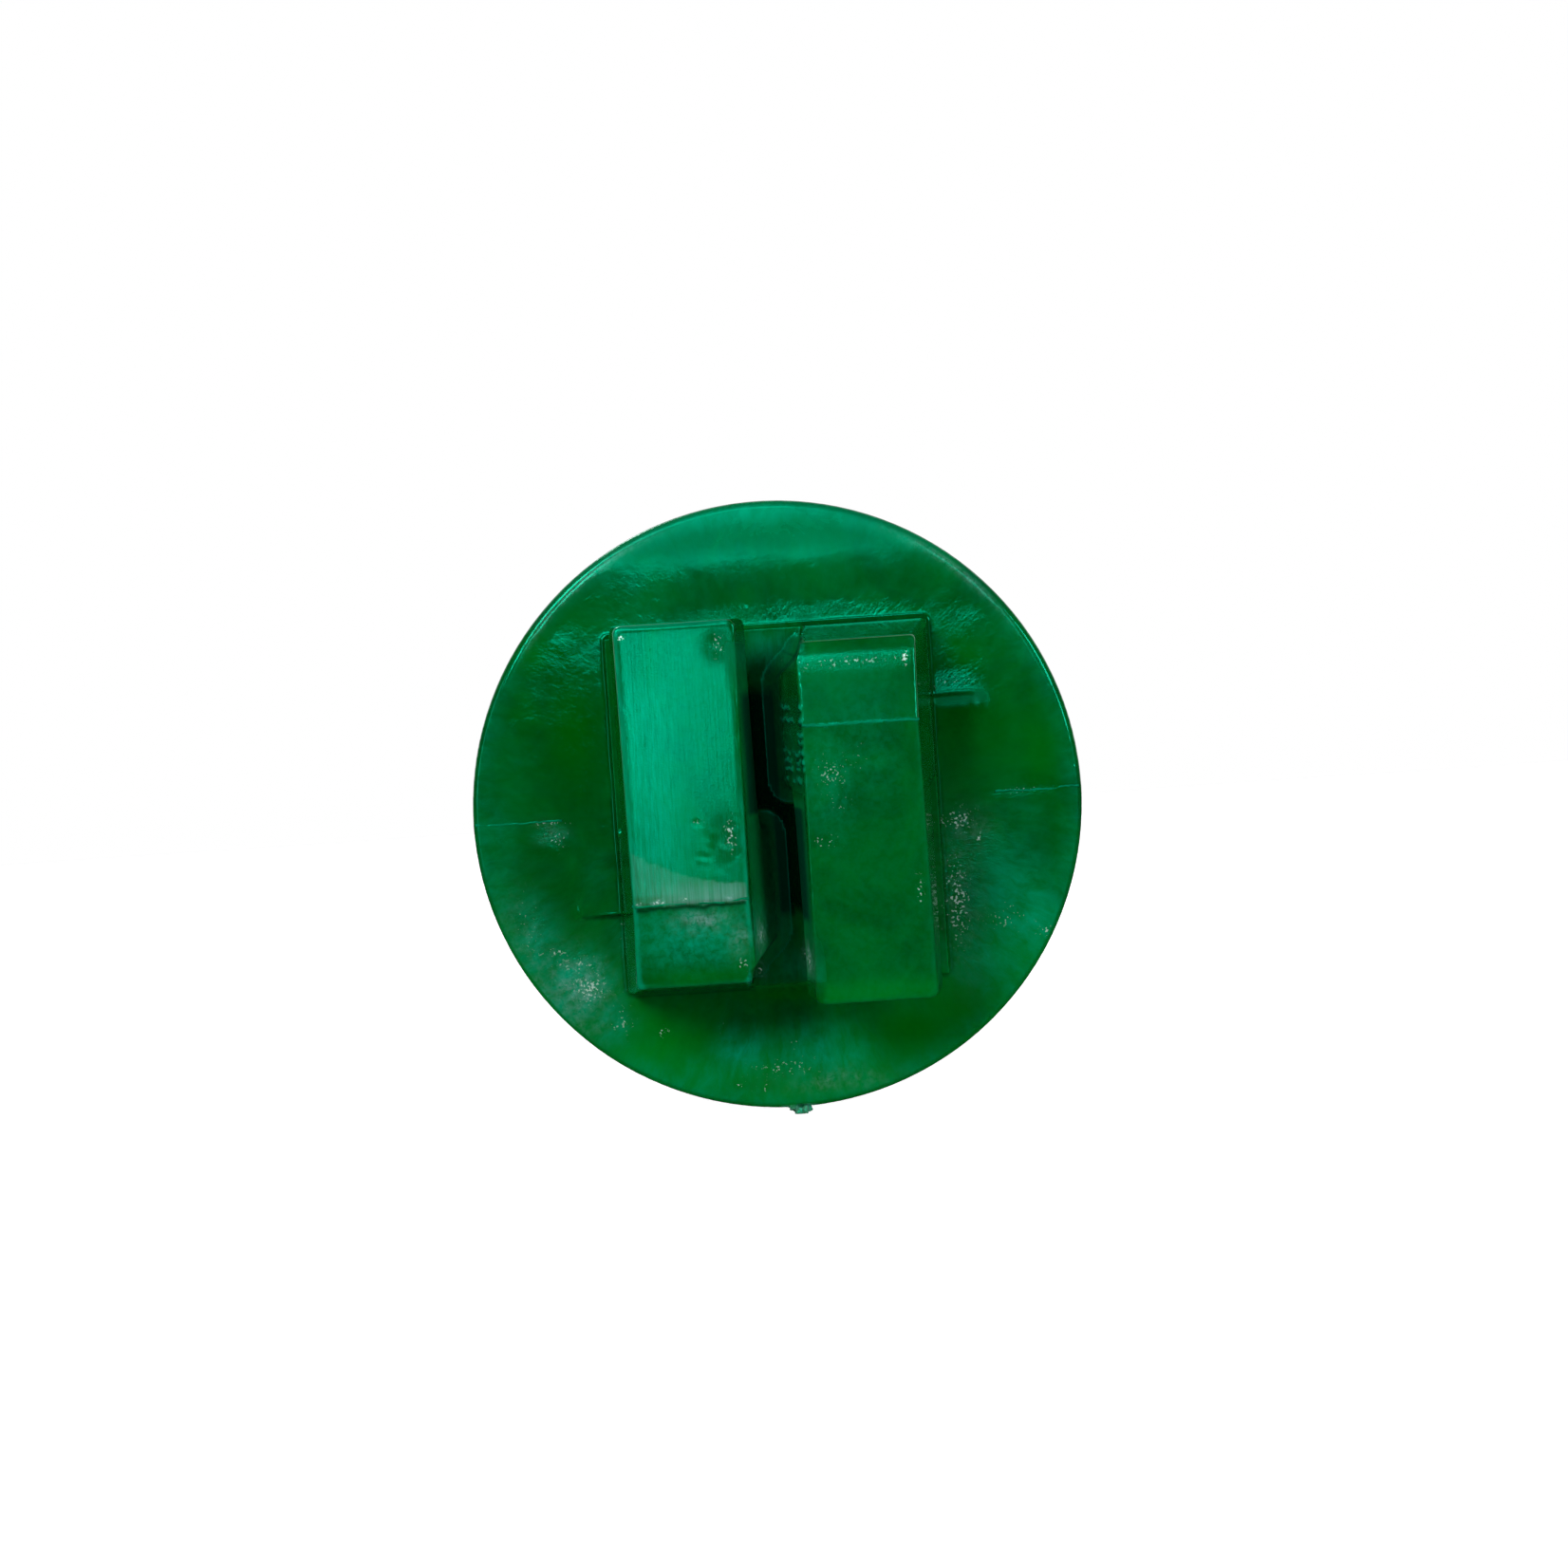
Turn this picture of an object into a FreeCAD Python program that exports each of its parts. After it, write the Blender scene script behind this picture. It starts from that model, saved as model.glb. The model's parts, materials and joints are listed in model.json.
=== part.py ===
import FreeCAD, Part
import math
import os
import Sketcher

# Electric fence insulator for a fibreglass rod: one plastic moulding.
# A round disc stands in front of the rod. On its face two fingers form a pair of opposed
# hooks: the wire goes down the slot between them, turns, and lies across under both.
# Behind the disc an open clip snaps onto the rod.
#
# Frame, in millimetres: Z runs up along the rod, and the fingers point to -Y.
# The origin is on the rod's axis, half-way up the clip.
# The mould opens along Z, so every face falls away from the parting line.

# Driving sizes, in millimetres and degrees.
SIZES = {
    # Clip on the rod
    "rod_diameter": "8.0",        # rod that the clip is made for
    "rod_clearance": "0.1",       # all round the rod, in the clip
    "clip_wall": "2.2",           # ring round the rod
    "saddle_wall": "1.5",         # between the rod's bore and the disc's back
    "clip_length": "16.0",        # along the rod
    "clip_mouth": "6.6",          # between the lips, where they are nearest
    "mouth_flare": "32.0",        # each lip's lead-in, from straight ahead
    "lip_round": "0.5",
    "foot_round": "1.0",          # where the clip stands on the disc
    "bore_bevel": "0.5",          # at both ends of the bore
    # Disc
    "disc_diameter": "45.0",
    "disc_thickness": "2.6",      # at the parting line
    "disc_draft": "1.5",          # each face, up and down from the parting line
    "rim_bevel": "0.35",
    # Plinth under the fingers
    "plinth_width": "23.7",       # across, where it meets the disc
    "plinth_length": "26.3",      # up and down, where it meets the disc
    "plinth_height": "0.6",
    "wall_draft": "8.0",          # outer walls of plinth and fingers
    # Fingers
    "finger_height": "9.0",       # disc to the ridge of the face
    "slot_floor": "0.9",          # between the fingers' roots, at the plinth
    "slot_mouth": "4.7",          # between the fingers' faces
    "ridge_offset": "6.1",        # parting ridge on a face, from mid-height
    "face_fall": "3.5",           # long plane of the face, towards the free end
    "root_fall": "9.0",           # short plane of the face, towards the root end
    "bend_run": "0.9",            # from the face's bend to where it would meet the root wall
    "bend_round": "5.5",
    "end_fall": "25.0",           # face past the bend
    "crease_round": "0.45",       # edge between the face and the root wall
    "free_reach": "1.0",          # free end past the plinth
    "corner_round": "0.6",        # free end's corners
    "edge_round": "0.35",         # round the face
    "under_round": "0.5",         # round the underside
    # Relief at the root end of the slot wall, where the block narrows
    "relief_reach": "3.75",       # from the root end, where it leaves the slot wall's foot
    "relief_run": "2.05",         # from the root end, where it turns along the block
    "relief_inset": "0.05",       # inside the slot's mouth, where it turns
    "relief_outset": "0.45",      # outside the slot's mouth, at the root end
    "relief_round": "0.8",
    # Wire channel under the fingers
    "wire_diameter": "2.5",       # thickest wire
    "wire_clearance": "0.25",     # above and below the wire
    "channel_flare": "3.0",       # underside, towards the free end
    # Witness steps of the mould's shut-off beside the roots
    "shutoff_width": "3.25",
    "shutoff_length": "7.2",
    # Gate nib on the rim
    "nib_width": "1.3",
    "nib_length": "0.55",
    "nib_thickness": "0.9",
    "nib_offset": "0.3",          # from the middle, along X
    # Construction
    "cut_margin": "2.0",          # how far a cut or a join runs past the material
}

# Places worked out from the sizes, as sheet formulas.
# y_ is a place along Y, and a height is counted from the disc's face towards -Y.
PLACES = {
    "bore_radius": "=sizes.rod_diameter / 2 + sizes.rod_clearance",
    "clip_radius": "=bore_radius + sizes.clip_wall",
    "mouth_half": "=sizes.clip_mouth / 2",
    "y_throat": "=sqrt(bore_radius ^ 2 - mouth_half ^ 2)",
    "disc_radius": "=sizes.disc_diameter / 2",
    "y_back": "=-bore_radius - sizes.saddle_wall",
    "y_front": "=y_back - sizes.disc_thickness",
    "y_middle": "=(y_front + y_back) / 2",
    "disc_fall": "=tan(sizes.disc_draft)",
    "wall_lean": "=tan(sizes.wall_draft)",
    "plinth_half_width": "=sizes.plinth_width / 2",
    "plinth_half_length": "=sizes.plinth_length / 2",
    "slot_floor_half": "=sizes.slot_floor / 2",
    "slot_rise": "=sizes.finger_height - sizes.plinth_height",
    "slot_lean": "=(sizes.slot_mouth - sizes.slot_floor) / 2 / slot_rise",
    "block_top": "=sizes.finger_height + sizes.cut_margin",
    "y_ridge": "=y_front - sizes.finger_height",
    # Shoulder: where the root wall's line would meet the short plane's line.
    "root_slope": "=tan(sizes.root_fall)",
    "root_run": "=plinth_half_length - sizes.ridge_offset + sizes.plinth_height * wall_lean",
    "shoulder_height": "=(sizes.finger_height - root_run * root_slope) / (1 - wall_lean * root_slope)",
    "shoulder_place": "=plinth_half_length - (shoulder_height - sizes.plinth_height) * wall_lean",
    # Bend: before the shoulder the face turns down more steeply.
    "bend_place": "=shoulder_place - sizes.bend_run",
    "bend_height": "=sizes.finger_height - (bend_place - sizes.ridge_offset) * root_slope",
    # Crease: where the root wall's line meets the line of the face past the bend.
    "end_slope": "=tan(sizes.end_fall)",
    "end_run": "=plinth_half_length - bend_place + sizes.plinth_height * wall_lean",
    "crease_height": "=(bend_height - end_run * end_slope) / (1 - wall_lean * end_slope)",
    "crease_place": "=plinth_half_length - (crease_height - sizes.plinth_height) * wall_lean",
    "relief_start": "=plinth_half_length - sizes.relief_reach - slot_floor_half",
    "relief_bend": "=plinth_half_length - sizes.relief_run",
    "relief_side": "=sizes.slot_mouth / 2 - sizes.relief_inset",
    "relief_end": "=sizes.slot_mouth / 2 + sizes.relief_outset",
    "free_end": "=plinth_half_length + sizes.free_reach",
    "wire_half": "=sizes.wire_diameter / 2",
    "channel_height": "=sizes.plinth_height + sizes.wire_diameter + 2 * sizes.wire_clearance",
    "nib_front": "=y_middle - sizes.nib_thickness / 2",
    "nib_back": "=y_middle + sizes.nib_thickness / 2",
    "nib_left": "=sizes.nib_offset - sizes.nib_width / 2",
    "nib_right": "=sizes.nib_offset + sizes.nib_width / 2",
    "nib_run": "=sizes.nib_length + sizes.cut_margin",
}

TOLERANCE = 1e-4


def sheet_of(doc, name, cells):
    """A spreadsheet with one aliased cell per value, in column A."""
    sheet = doc.addObject("Spreadsheet::Sheet", name)
    for row, (alias, content) in enumerate(cells.items(), start=1):
        cell = "A%d" % row
        sheet.set(cell, content)
        sheet.setAlias(cell, alias)
    doc.recompute()
    return sheet


def value(name):
    """The number that a size or a place has now."""
    sheet = sizes if name in SIZES else places
    return float(getattr(sheet, name))


def origin_feature(body, role):
    return [item for item in body.Origin.OriginFeatures if item.Role == role][0]


def new_sketch(body, name, role, offset=None):
    """A sketch on one of the body's own planes, moved along the plane's normal by offset."""
    sketch = body.newObject("Sketcher::SketchObject", name)
    sketch.AttachmentSupport = [(origin_feature(body, role), "")]
    sketch.MapMode = "FlatFace"
    if offset:
        sketch.setExpression("AttachmentOffset.Base.z", offset)
    return sketch


def add_outline(sketch, corners):
    """A closed outline: each corner is a pair of expressions, with its rounding if it has one."""
    numbers = [[float(places.evalExpression(part)) for part in corner[:2]] for corner in corners]
    points = [FreeCAD.Vector(across, along, 0) for across, along in numbers]
    first = len(sketch.Geometry)
    count = len(corners)
    for index in range(count):
        line = Part.LineSegment(points[index], points[(index + 1) % count])
        sketch.addGeometry(line, False)
    for index in range(count):
        following = first + (index + 1) % count
        sketch.addConstraint(Sketcher.Constraint("Coincident", first + index, 2, following, 1))
    for index, corner in enumerate(corners):
        for kind, part, number in zip(("DistanceX", "DistanceY"), corner[:2], numbers[index]):
            constraint = Sketcher.Constraint(kind, -1, 1, first + index, 1, number)
            place = sketch.addConstraint(constraint)
            sketch.setExpression("Constraints[%d]" % place, part)
    for index, corner in enumerate(corners):
        if len(corner) == 3:
            radius = float(places.evalExpression(corner[2]))
            sketch.fillet(first + index, 1, radius, True, True)
            arc = [number for number, item in enumerate(sketch.Geometry)
                   if isinstance(item, Part.ArcOfCircle)][-1]
            place = sketch.addConstraint(Sketcher.Constraint("Radius", arc, radius))
            sketch.setExpression("Constraints[%d]" % place, corner[2])


def add_circle(sketch, radius):
    """A circle about the sketch's origin."""
    normal = FreeCAD.Vector(0, 0, 1)
    number = sketch.addGeometry(Part.Circle(FreeCAD.Vector(), normal, value(radius)), False)
    sketch.addConstraint(Sketcher.Constraint("Coincident", number, 3, -1, 1))
    place = sketch.addConstraint(Sketcher.Constraint("Radius", number, value(radius)))
    sketch.setExpression("Constraints[%d]" % place, "places." + radius)


def add_arch(sketch, radius, foot=None):
    """A half circle about the sketch's origin, closed at its diameter or by two sides and a foot."""
    size = value(radius)
    circle = Part.Circle(FreeCAD.Vector(), FreeCAD.Vector(0, 0, 1), size)
    sketch.addGeometry(Part.ArcOfCircle(circle, 0, math.pi), False)
    corners = [FreeCAD.Vector(-size, 0, 0), FreeCAD.Vector(size, 0, 0)]
    if foot:
        level = value(foot)
        corners[1:1] = [FreeCAD.Vector(-size, level, 0), FreeCAD.Vector(size, level, 0)]
    constraint = Sketcher.Constraint
    for index in range(len(corners) - 1):
        sketch.addGeometry(Part.LineSegment(corners[index], corners[index + 1]), False)
        sketch.addConstraint(constraint("Coincident", index, 2, index + 1, 1))
    sketch.addConstraint(constraint("Coincident", len(corners) - 1, 2, 0, 1))
    sketch.addConstraint(constraint("Coincident", 0, 3, -1, 1))
    sketch.addConstraint(constraint("PointOnObject", 0, 1, -1))
    place = sketch.addConstraint(constraint("Radius", 0, size))
    sketch.setExpression("Constraints[%d]" % place, "places." + radius)
    if foot:
        sketch.addConstraint(constraint("PointOnObject", 0, 2, -1))
        for number, kind in ((1, "Vertical"), (2, "Horizontal"), (3, "Vertical")):
            sketch.addConstraint(constraint(kind, number))
        place = sketch.addConstraint(constraint("DistanceY", -1, 1, 2, 1, value(foot)))
        sketch.setExpression("Constraints[%d]" % place, "places." + foot)
    else:
        sketch.addConstraint(constraint("PointOnObject", 0, 2, -1))


def pad(body, name, sketch, length, symmetric=False):
    feature = body.newObject("PartDesign::Pad", name)
    feature.Profile = sketch
    feature.Type = "Length"
    feature.SideType = "Symmetric" if symmetric else "One side"
    feature.setExpression("Length", length)
    return feature


def pocket_through(body, name, sketch):
    """A cut along the sketch's normal, both ways, through everything."""
    feature = body.newObject("PartDesign::Pocket", name)
    feature.Profile = sketch
    feature.SideType = "Symmetric"
    feature.Type = "ThroughAll"
    return feature


def pocket_one_way(body, name, sketch, length):
    """A cut from the sketch along its plane's normal, as far as length."""
    feature = body.newObject("PartDesign::Pocket", name)
    feature.Profile = sketch
    feature.SideType = "One side"
    feature.Type = "Length"
    feature.setExpression("Length", length)
    feature.Reversed = True
    return feature


def half_turn(body, name, features, mode):
    """The features, or the body so far, once more after half a turn about the disc's axis."""
    pattern = body.newObject("PartDesign::PolarPattern", name)
    pattern.TransformMode = mode
    pattern.Originals = features
    pattern.Axis = (origin_feature(body, "Y_Axis"), [""])
    pattern.Angle = 360
    pattern.Occurrences = 2
    body.Tip = pattern
    return pattern


def runs_along(edge):
    """Whether an edge runs up and down, give or take the draft."""
    return abs(edge.tangentAt(edge.FirstParameter).z) > 0.9


def dress(body, name, kind, base, chosen, size):
    """A Fillet or Chamfer on the edges of base for which chosen is true."""
    doc.recompute()
    edges = enumerate(base.Shape.Edges, start=1)
    names = ["Edge%d" % number for number, edge in edges if chosen(edge)]
    if not names:
        raise ValueError("no edge found for " + name)
    feature = body.newObject("PartDesign::" + kind, name)
    feature.Base = (base, names)
    feature.setExpression("Radius" if kind == "Fillet" else "Size", size)
    return feature


def make_disc(body):
    """A disc whose two faces fall away, up and down, from the parting line at mid-height."""
    outline = new_sketch(body, "disc_outline", "XZ_Plane", "-places.y_back")
    add_arch(outline, "disc_radius")
    pad(body, "disc_blank", outline, "sizes.disc_thickness")
    falls = new_sketch(body, "disc_falls", "YZ_Plane")
    reach = "(places.disc_radius + sizes.cut_margin)"
    for face, side in (("places.y_front", 1), ("places.y_back", -1)):
        outside = "%s - %d * sizes.cut_margin" % (face, side)
        add_outline(falls, [
            (face, "0"),
            ("%s + %d * %s * places.disc_fall" % (face, side, reach), reach),
            (outside, reach),
            (outside, "0"),
        ])
    drafted = pocket_through(body, "disc_drafts", falls)
    rim = value("disc_radius")

    def is_rim(edge):
        ends = [vertex.Point for vertex in edge.Vertexes]
        on_rim = all(abs(math.hypot(point.x, point.z) - rim) < TOLERANCE for point in ends)
        return on_rim and edge.CenterOfMass.z > rim / 2

    bevelled = dress(body, "rim_bevel", "Chamfer", drafted, is_rim, "sizes.rim_bevel")
    half_turn(body, "disc", [bevelled], "Whole shape")


def make_plinth(body):
    """A low block under the fingers, which starts inside the disc."""
    outline = new_sketch(body, "plinth_outline", "XZ_Plane", "-places.y_middle")
    across, along = "places.plinth_half_width", "places.plinth_half_length"
    add_outline(outline, [
        ("-" + across, "-" + along),
        (across, "-" + along),
        (across, along),
        ("-" + across, along),
    ])
    pad(body, "plinth", outline, "sizes.disc_thickness / 2 + sizes.plinth_height")


def make_shutoff_steps(body):
    """Beside each root, one mould half's sloping face runs on past the parting line, as a step."""
    start = "(places.plinth_half_width - sizes.cut_margin)"
    profile = new_sketch(body, "shutoff_profile", "YZ_Plane", start)
    add_outline(profile, [
        ("places.y_front", "0"),
        ("places.y_front - sizes.shutoff_length * places.disc_fall", "sizes.shutoff_length"),
        ("places.y_middle", "sizes.shutoff_length"),
        ("places.y_middle", "0"),
    ])
    step = pad(body, "shutoff_step", profile, "sizes.cut_margin + sizes.shutoff_width")
    half_turn(body, "both_steps", [step], "Features")


def make_right_finger(body):
    """The hook whose root is at the top and whose free end hangs down, as the features to repeat."""
    # Section: the outer wall and the slot wall each lean in one plane, all the way along.
    floor = "places.y_front - sizes.plinth_height"
    top = "places.y_front - places.block_top"
    rise = "(places.block_top - sizes.plinth_height)"
    section = new_sketch(body, "finger_section", "XY_Plane", "-places.free_end")
    add_outline(section, [
        ("places.slot_floor_half", floor),
        ("places.plinth_half_width", floor),
        ("places.plinth_half_width - %s * places.wall_lean" % rise, top),
        ("places.slot_floor_half + %s * places.slot_lean" % rise, top),
    ])
    length = "places.free_end + places.plinth_half_length"
    block = pad(body, "finger_block", section, length)

    # Face: the root wall, the bend, a short plane, the ridge, and a long plane to the free end.
    face = new_sketch(body, "face_profile", "YZ_Plane")
    up = "(places.plinth_half_length + sizes.cut_margin)"
    down = "(places.free_end + sizes.cut_margin)"
    above = "%s - sizes.cut_margin" % top
    add_outline(face, [
        (floor, "places.plinth_half_length"),
        ("places.y_front - places.crease_height", "places.crease_place", "sizes.crease_round"),
        ("places.y_front - places.bend_height", "places.bend_place", "sizes.bend_round"),
        ("places.y_ridge", "sizes.ridge_offset"),
        ("places.y_ridge + (%s + sizes.ridge_offset) * tan(sizes.face_fall)" % down, "-" + down),
        (above, "-" + down),
        (above, up),
        (floor, up),
    ])
    reach = "places.plinth_half_width + sizes.cut_margin"
    face_cut = pocket_one_way(body, "face_cut", face, reach)

    # Hollow: the wire nests against the root, and the underside opens towards the free end.
    hollow = new_sketch(body, "hollow_profile", "YZ_Plane")
    under = "places.y_front - places.channel_height"
    add_outline(hollow, [
        (floor, "-" + down),
        (floor, "places.wire_half"),
        (under, "places.wire_half", "places.wire_half"),
        ("%s - (%s + places.wire_half) * tan(sizes.channel_flare)" % (under, down), "-" + down),
    ])
    hollow_cut = pocket_one_way(body, "hollow_cut", hollow, reach)

    # Relief: the slot wall's foot turns away from the slot before the root end.
    relief = new_sketch(body, "relief_outline", "XZ_Plane", "sizes.plinth_height - places.y_front")
    add_outline(relief, [
        ("0", "places.relief_start"),
        ("places.relief_side", "places.relief_bend", "sizes.relief_round"),
        ("places.relief_end", "places.plinth_half_length"),
        ("places.relief_end", up),
        ("0", up),
    ])
    relief_cut = pocket_one_way(body, "relief_cut", relief, "places.block_top")
    return [block, face_cut, hollow_cut, relief_cut]


def round_fingers(body, base):
    """Free ends' corners, then all round the undersides, then all round the faces."""
    free_end = value("free_end")
    middle = value("y_front") - (value("channel_height") + value("finger_height")) / 2

    def is_at_free_end(edge):
        ends = [vertex.Point for vertex in edge.Vertexes]
        return len(ends) == 2 and all(abs(abs(point.z) - free_end) < TOLERANCE for point in ends)

    def is_free_corner(edge):
        return is_at_free_end(edge) and abs(edge.tangentAt(edge.FirstParameter).y) > 0.9

    cornered = dress(body, "corner_rounding", "Fillet", base, is_free_corner, "sizes.corner_round")

    def is_tip_underside(edge):
        return is_at_free_end(edge) and edge.CenterOfMass.y > middle

    under = dress(body, "under_rounding", "Fillet", cornered, is_tip_underside, "sizes.under_round")

    def is_face_edge(edge):
        straight = isinstance(edge.Curve, Part.Line) and edge.Length > 4 * value("edge_round")
        on_face = edge.CenterOfMass.y < middle
        return straight and on_face and (runs_along(edge) or is_at_free_end(edge))

    dress(body, "edge_rounding", "Fillet", under, is_face_edge, "sizes.edge_round")


def make_clip(body):
    """A saddle and ring round the rod, bored through, with a flared mouth to the back."""
    outline = new_sketch(body, "clip_outline", "XY_Plane")
    add_arch(outline, "clip_radius", "y_middle")
    pad(body, "clip_block", outline, "sizes.clip_length", symmetric=True)

    bore = new_sketch(body, "bore_outline", "XY_Plane")
    add_circle(bore, "bore_radius")
    bored = pocket_through(body, "clip_bore", bore)

    half = value("clip_length") / 2

    def is_bore_end(edge):
        if not isinstance(edge.Curve, Part.Circle):
            return False
        off_end = abs(abs(edge.CenterOfMass.z) - half)
        off_size = abs(edge.Curve.Radius - value("bore_radius"))
        return off_end < TOLERANCE and off_size < TOLERANCE

    dress(body, "bore_bevels", "Chamfer", bored, is_bore_end, "sizes.bore_bevel")

    mouth = new_sketch(body, "mouth_outline", "XY_Plane")
    outside = "(places.clip_radius + sizes.cut_margin)"
    wide = "(places.mouth_half + (%s - places.y_throat) * tan(sizes.mouth_flare))" % outside
    add_outline(mouth, [
        ("-places.mouth_half", "0"),
        ("places.mouth_half", "0"),
        ("places.mouth_half", "places.y_throat"),
        (wide, outside),
        ("-" + wide, outside),
        ("-places.mouth_half", "places.y_throat"),
    ])
    opened = pocket_through(body, "clip_mouth", mouth)

    def is_lip(edge):
        long_enough = edge.Length > 2 * half - 3 * value("bore_bevel")
        return long_enough and runs_along(edge) and edge.CenterOfMass.y > value("y_throat") - TOLERANCE

    lipped = dress(body, "lip_rounding", "Fillet", opened, is_lip, "sizes.lip_round")

    def is_foot(edge):
        place = edge.CenterOfMass
        beside = abs(abs(place.x) - value("clip_radius")) < TOLERANCE
        return runs_along(edge) and beside and place.y < value("y_back") + value("foot_round")

    dress(body, "foot_rounding", "Fillet", lipped, is_foot, "sizes.foot_round")


def make_nib(body):
    """What was left of the gate when the moulding was torn off its runner."""
    end = "-places.disc_radius - sizes.nib_length"
    outline = new_sketch(body, "nib_outline", "XY_Plane", end)
    add_outline(outline, [
        ("places.nib_left", "places.nib_front"),
        ("places.nib_right", "places.nib_front"),
        ("places.nib_right", "places.nib_back"),
        ("places.nib_left", "places.nib_back"),
    ])
    pad(body, "gate_nib", outline, "places.nib_run")


doc = FreeCAD.newDocument("fence_insulator")
sizes = sheet_of(doc, "sizes", SIZES)
places = sheet_of(doc, "places", PLACES)

insulator = doc.addObject("PartDesign::Body", "insulator_body")
insulator.Label = "insulator_body"
make_disc(insulator)
make_plinth(insulator)
make_shutoff_steps(insulator)
hooks = make_right_finger(insulator)
round_fingers(insulator, half_turn(insulator, "both_fingers", hooks, "Features"))
make_clip(insulator)
make_nib(insulator)
doc.recompute()

for item in doc.Objects:
    if "Invalid" in item.State or "Error" in item.State:
        raise ValueError(item.Name + " failed")
os.makedirs("parts", exist_ok=True)
if insulator.Shape.isNull() or not insulator.Shape.isValid() or len(insulator.Shape.Solids) != 1:
    raise ValueError("the insulator isn't one valid solid")
print("volume", round(insulator.Shape.Volume, 1), "box", insulator.Shape.BoundBox)
insulator.Shape.exportStep("parts/insulator_body.step")
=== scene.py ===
import json
import math
import bpy
import numpy as np
from mathutils import Matrix, Vector

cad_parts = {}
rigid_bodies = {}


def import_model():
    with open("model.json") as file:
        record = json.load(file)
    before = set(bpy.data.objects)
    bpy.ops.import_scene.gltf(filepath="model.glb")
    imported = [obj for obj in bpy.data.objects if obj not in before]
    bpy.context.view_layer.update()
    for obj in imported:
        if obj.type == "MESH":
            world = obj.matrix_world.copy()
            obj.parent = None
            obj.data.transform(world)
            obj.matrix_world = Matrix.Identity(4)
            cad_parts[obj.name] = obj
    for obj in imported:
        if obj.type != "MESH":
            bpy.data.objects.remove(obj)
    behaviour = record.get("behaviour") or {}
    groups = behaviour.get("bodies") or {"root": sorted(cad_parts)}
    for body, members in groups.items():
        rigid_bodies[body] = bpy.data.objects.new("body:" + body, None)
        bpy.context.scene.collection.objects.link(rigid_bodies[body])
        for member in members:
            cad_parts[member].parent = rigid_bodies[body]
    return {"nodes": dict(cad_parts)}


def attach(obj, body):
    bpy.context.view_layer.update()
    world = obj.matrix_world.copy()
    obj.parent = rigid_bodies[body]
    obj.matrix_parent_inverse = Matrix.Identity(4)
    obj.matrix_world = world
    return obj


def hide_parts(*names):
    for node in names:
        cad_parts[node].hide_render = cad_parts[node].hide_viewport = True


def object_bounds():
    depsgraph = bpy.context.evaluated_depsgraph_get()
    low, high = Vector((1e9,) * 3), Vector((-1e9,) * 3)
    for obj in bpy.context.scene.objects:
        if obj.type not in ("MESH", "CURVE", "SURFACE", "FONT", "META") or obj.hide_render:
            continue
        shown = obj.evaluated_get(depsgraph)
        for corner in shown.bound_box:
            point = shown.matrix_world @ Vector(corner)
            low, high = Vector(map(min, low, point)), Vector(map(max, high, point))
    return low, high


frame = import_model()
cadBox = [list(corner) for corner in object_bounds()]
mm = 0.001


def linearColour(hexColour):  # "#rrggbb" as sRGB, turned to linear RGBA
    srgb = np.array([int(hexColour[i:i + 2], 16) for i in (1, 3, 5)]) / 255
    linear = np.where(srgb <= 0.04045, srgb / 12.92, ((srgb + 0.055) / 1.055) ** 2.4)
    return (*linear.tolist(), 1.0)


def addNode(tree, kind, inputs=None, **settings):
    # inputs: {socket: (node, output) or a plain number}, settings: sockets or properties by name
    node = tree.nodes.new("ShaderNode" + kind)
    for name, value in settings.items():
        label = name.replace("_", " ")
        if label in node.inputs:
            node.inputs[label].default_value = value
        else:
            setattr(node, name, value)
    for socket, source in (inputs or {}).items():
        if isinstance(source, tuple):
            tree.links.new(source[0].outputs[source[1]], node.inputs[socket])
        else:
            node.inputs[socket].default_value = source
    return node


def ease(value, low, high):  # 0 below low, 1 above high, smooth between
    t = np.clip((value - low) / (high - low), 0, 1)
    return t * t * (3 - 2 * t)


def bell(value, width):  # 1 at zero, fading out over about width
    return np.exp(-(value / width) ** 2)


def ripple(points, size, seed, stretch=(1, 1, 1)):
    # sum of plane waves in random directions, wavelengths near size (mm), scaled to a spread of 1
    count = 30
    rng = np.random.default_rng(seed)
    ways = rng.normal(size=(count, 3))
    ways /= np.linalg.norm(ways, axis=1)[:, None]
    ways *= (2 * np.pi / (size * rng.uniform(0.65, 1.5, count)))[:, None]
    ways /= np.array(stretch)
    phases = rng.uniform(0, 2 * np.pi, count)
    return np.cos(points @ ways.T + phases).sum(1) * math.sqrt(2 / count)


def patch(x, z, spots):  # largest of several soft ellipses: (x, z, half width, half height, strength)
    total = np.zeros(len(x))
    for cx, cz, rx, rz, strength in spots:
        total = np.maximum(total, strength * np.exp(-(((x - cx) / rx) ** 2 + ((z - cz) / rz) ** 2)))
    return total


def zone(points, bands):  # product of soft limits, {axis: (where it starts, where it is whole)} in mm
    x, y, z = points.T
    ways = {"x": x, "-x": -x, "|x|": np.abs(x), "-|x|": -np.abs(x), "y": y, "-y": -y,
            "z": z, "-z": -z, "|z|": np.abs(z), "-|z|": -np.abs(z)}
    total = np.ones(len(x))
    for axis, (low, high) in bands.items():
        total = total * ease(ways[axis], low, high)
    return total


def toLine(x, z, start, end):  # distance to a straight piece between two points of the front view
    (x0, z0), (x1, z1) = start, end
    t = (((x - x0) * (x1 - x0) + (z - z0) * (z1 - z0)) / ((x1 - x0) ** 2 + (z1 - z0) ** 2)).clip(0, 1)
    return np.hypot(x - x0 - t * (x1 - x0), z - z0 - t * (z1 - z0))


def finishPiece(piece, material):
    piece.data.materials.clear()
    piece.data.materials.append(material)
    piece.data.shade_smooth()
    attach(piece, "root")


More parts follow.
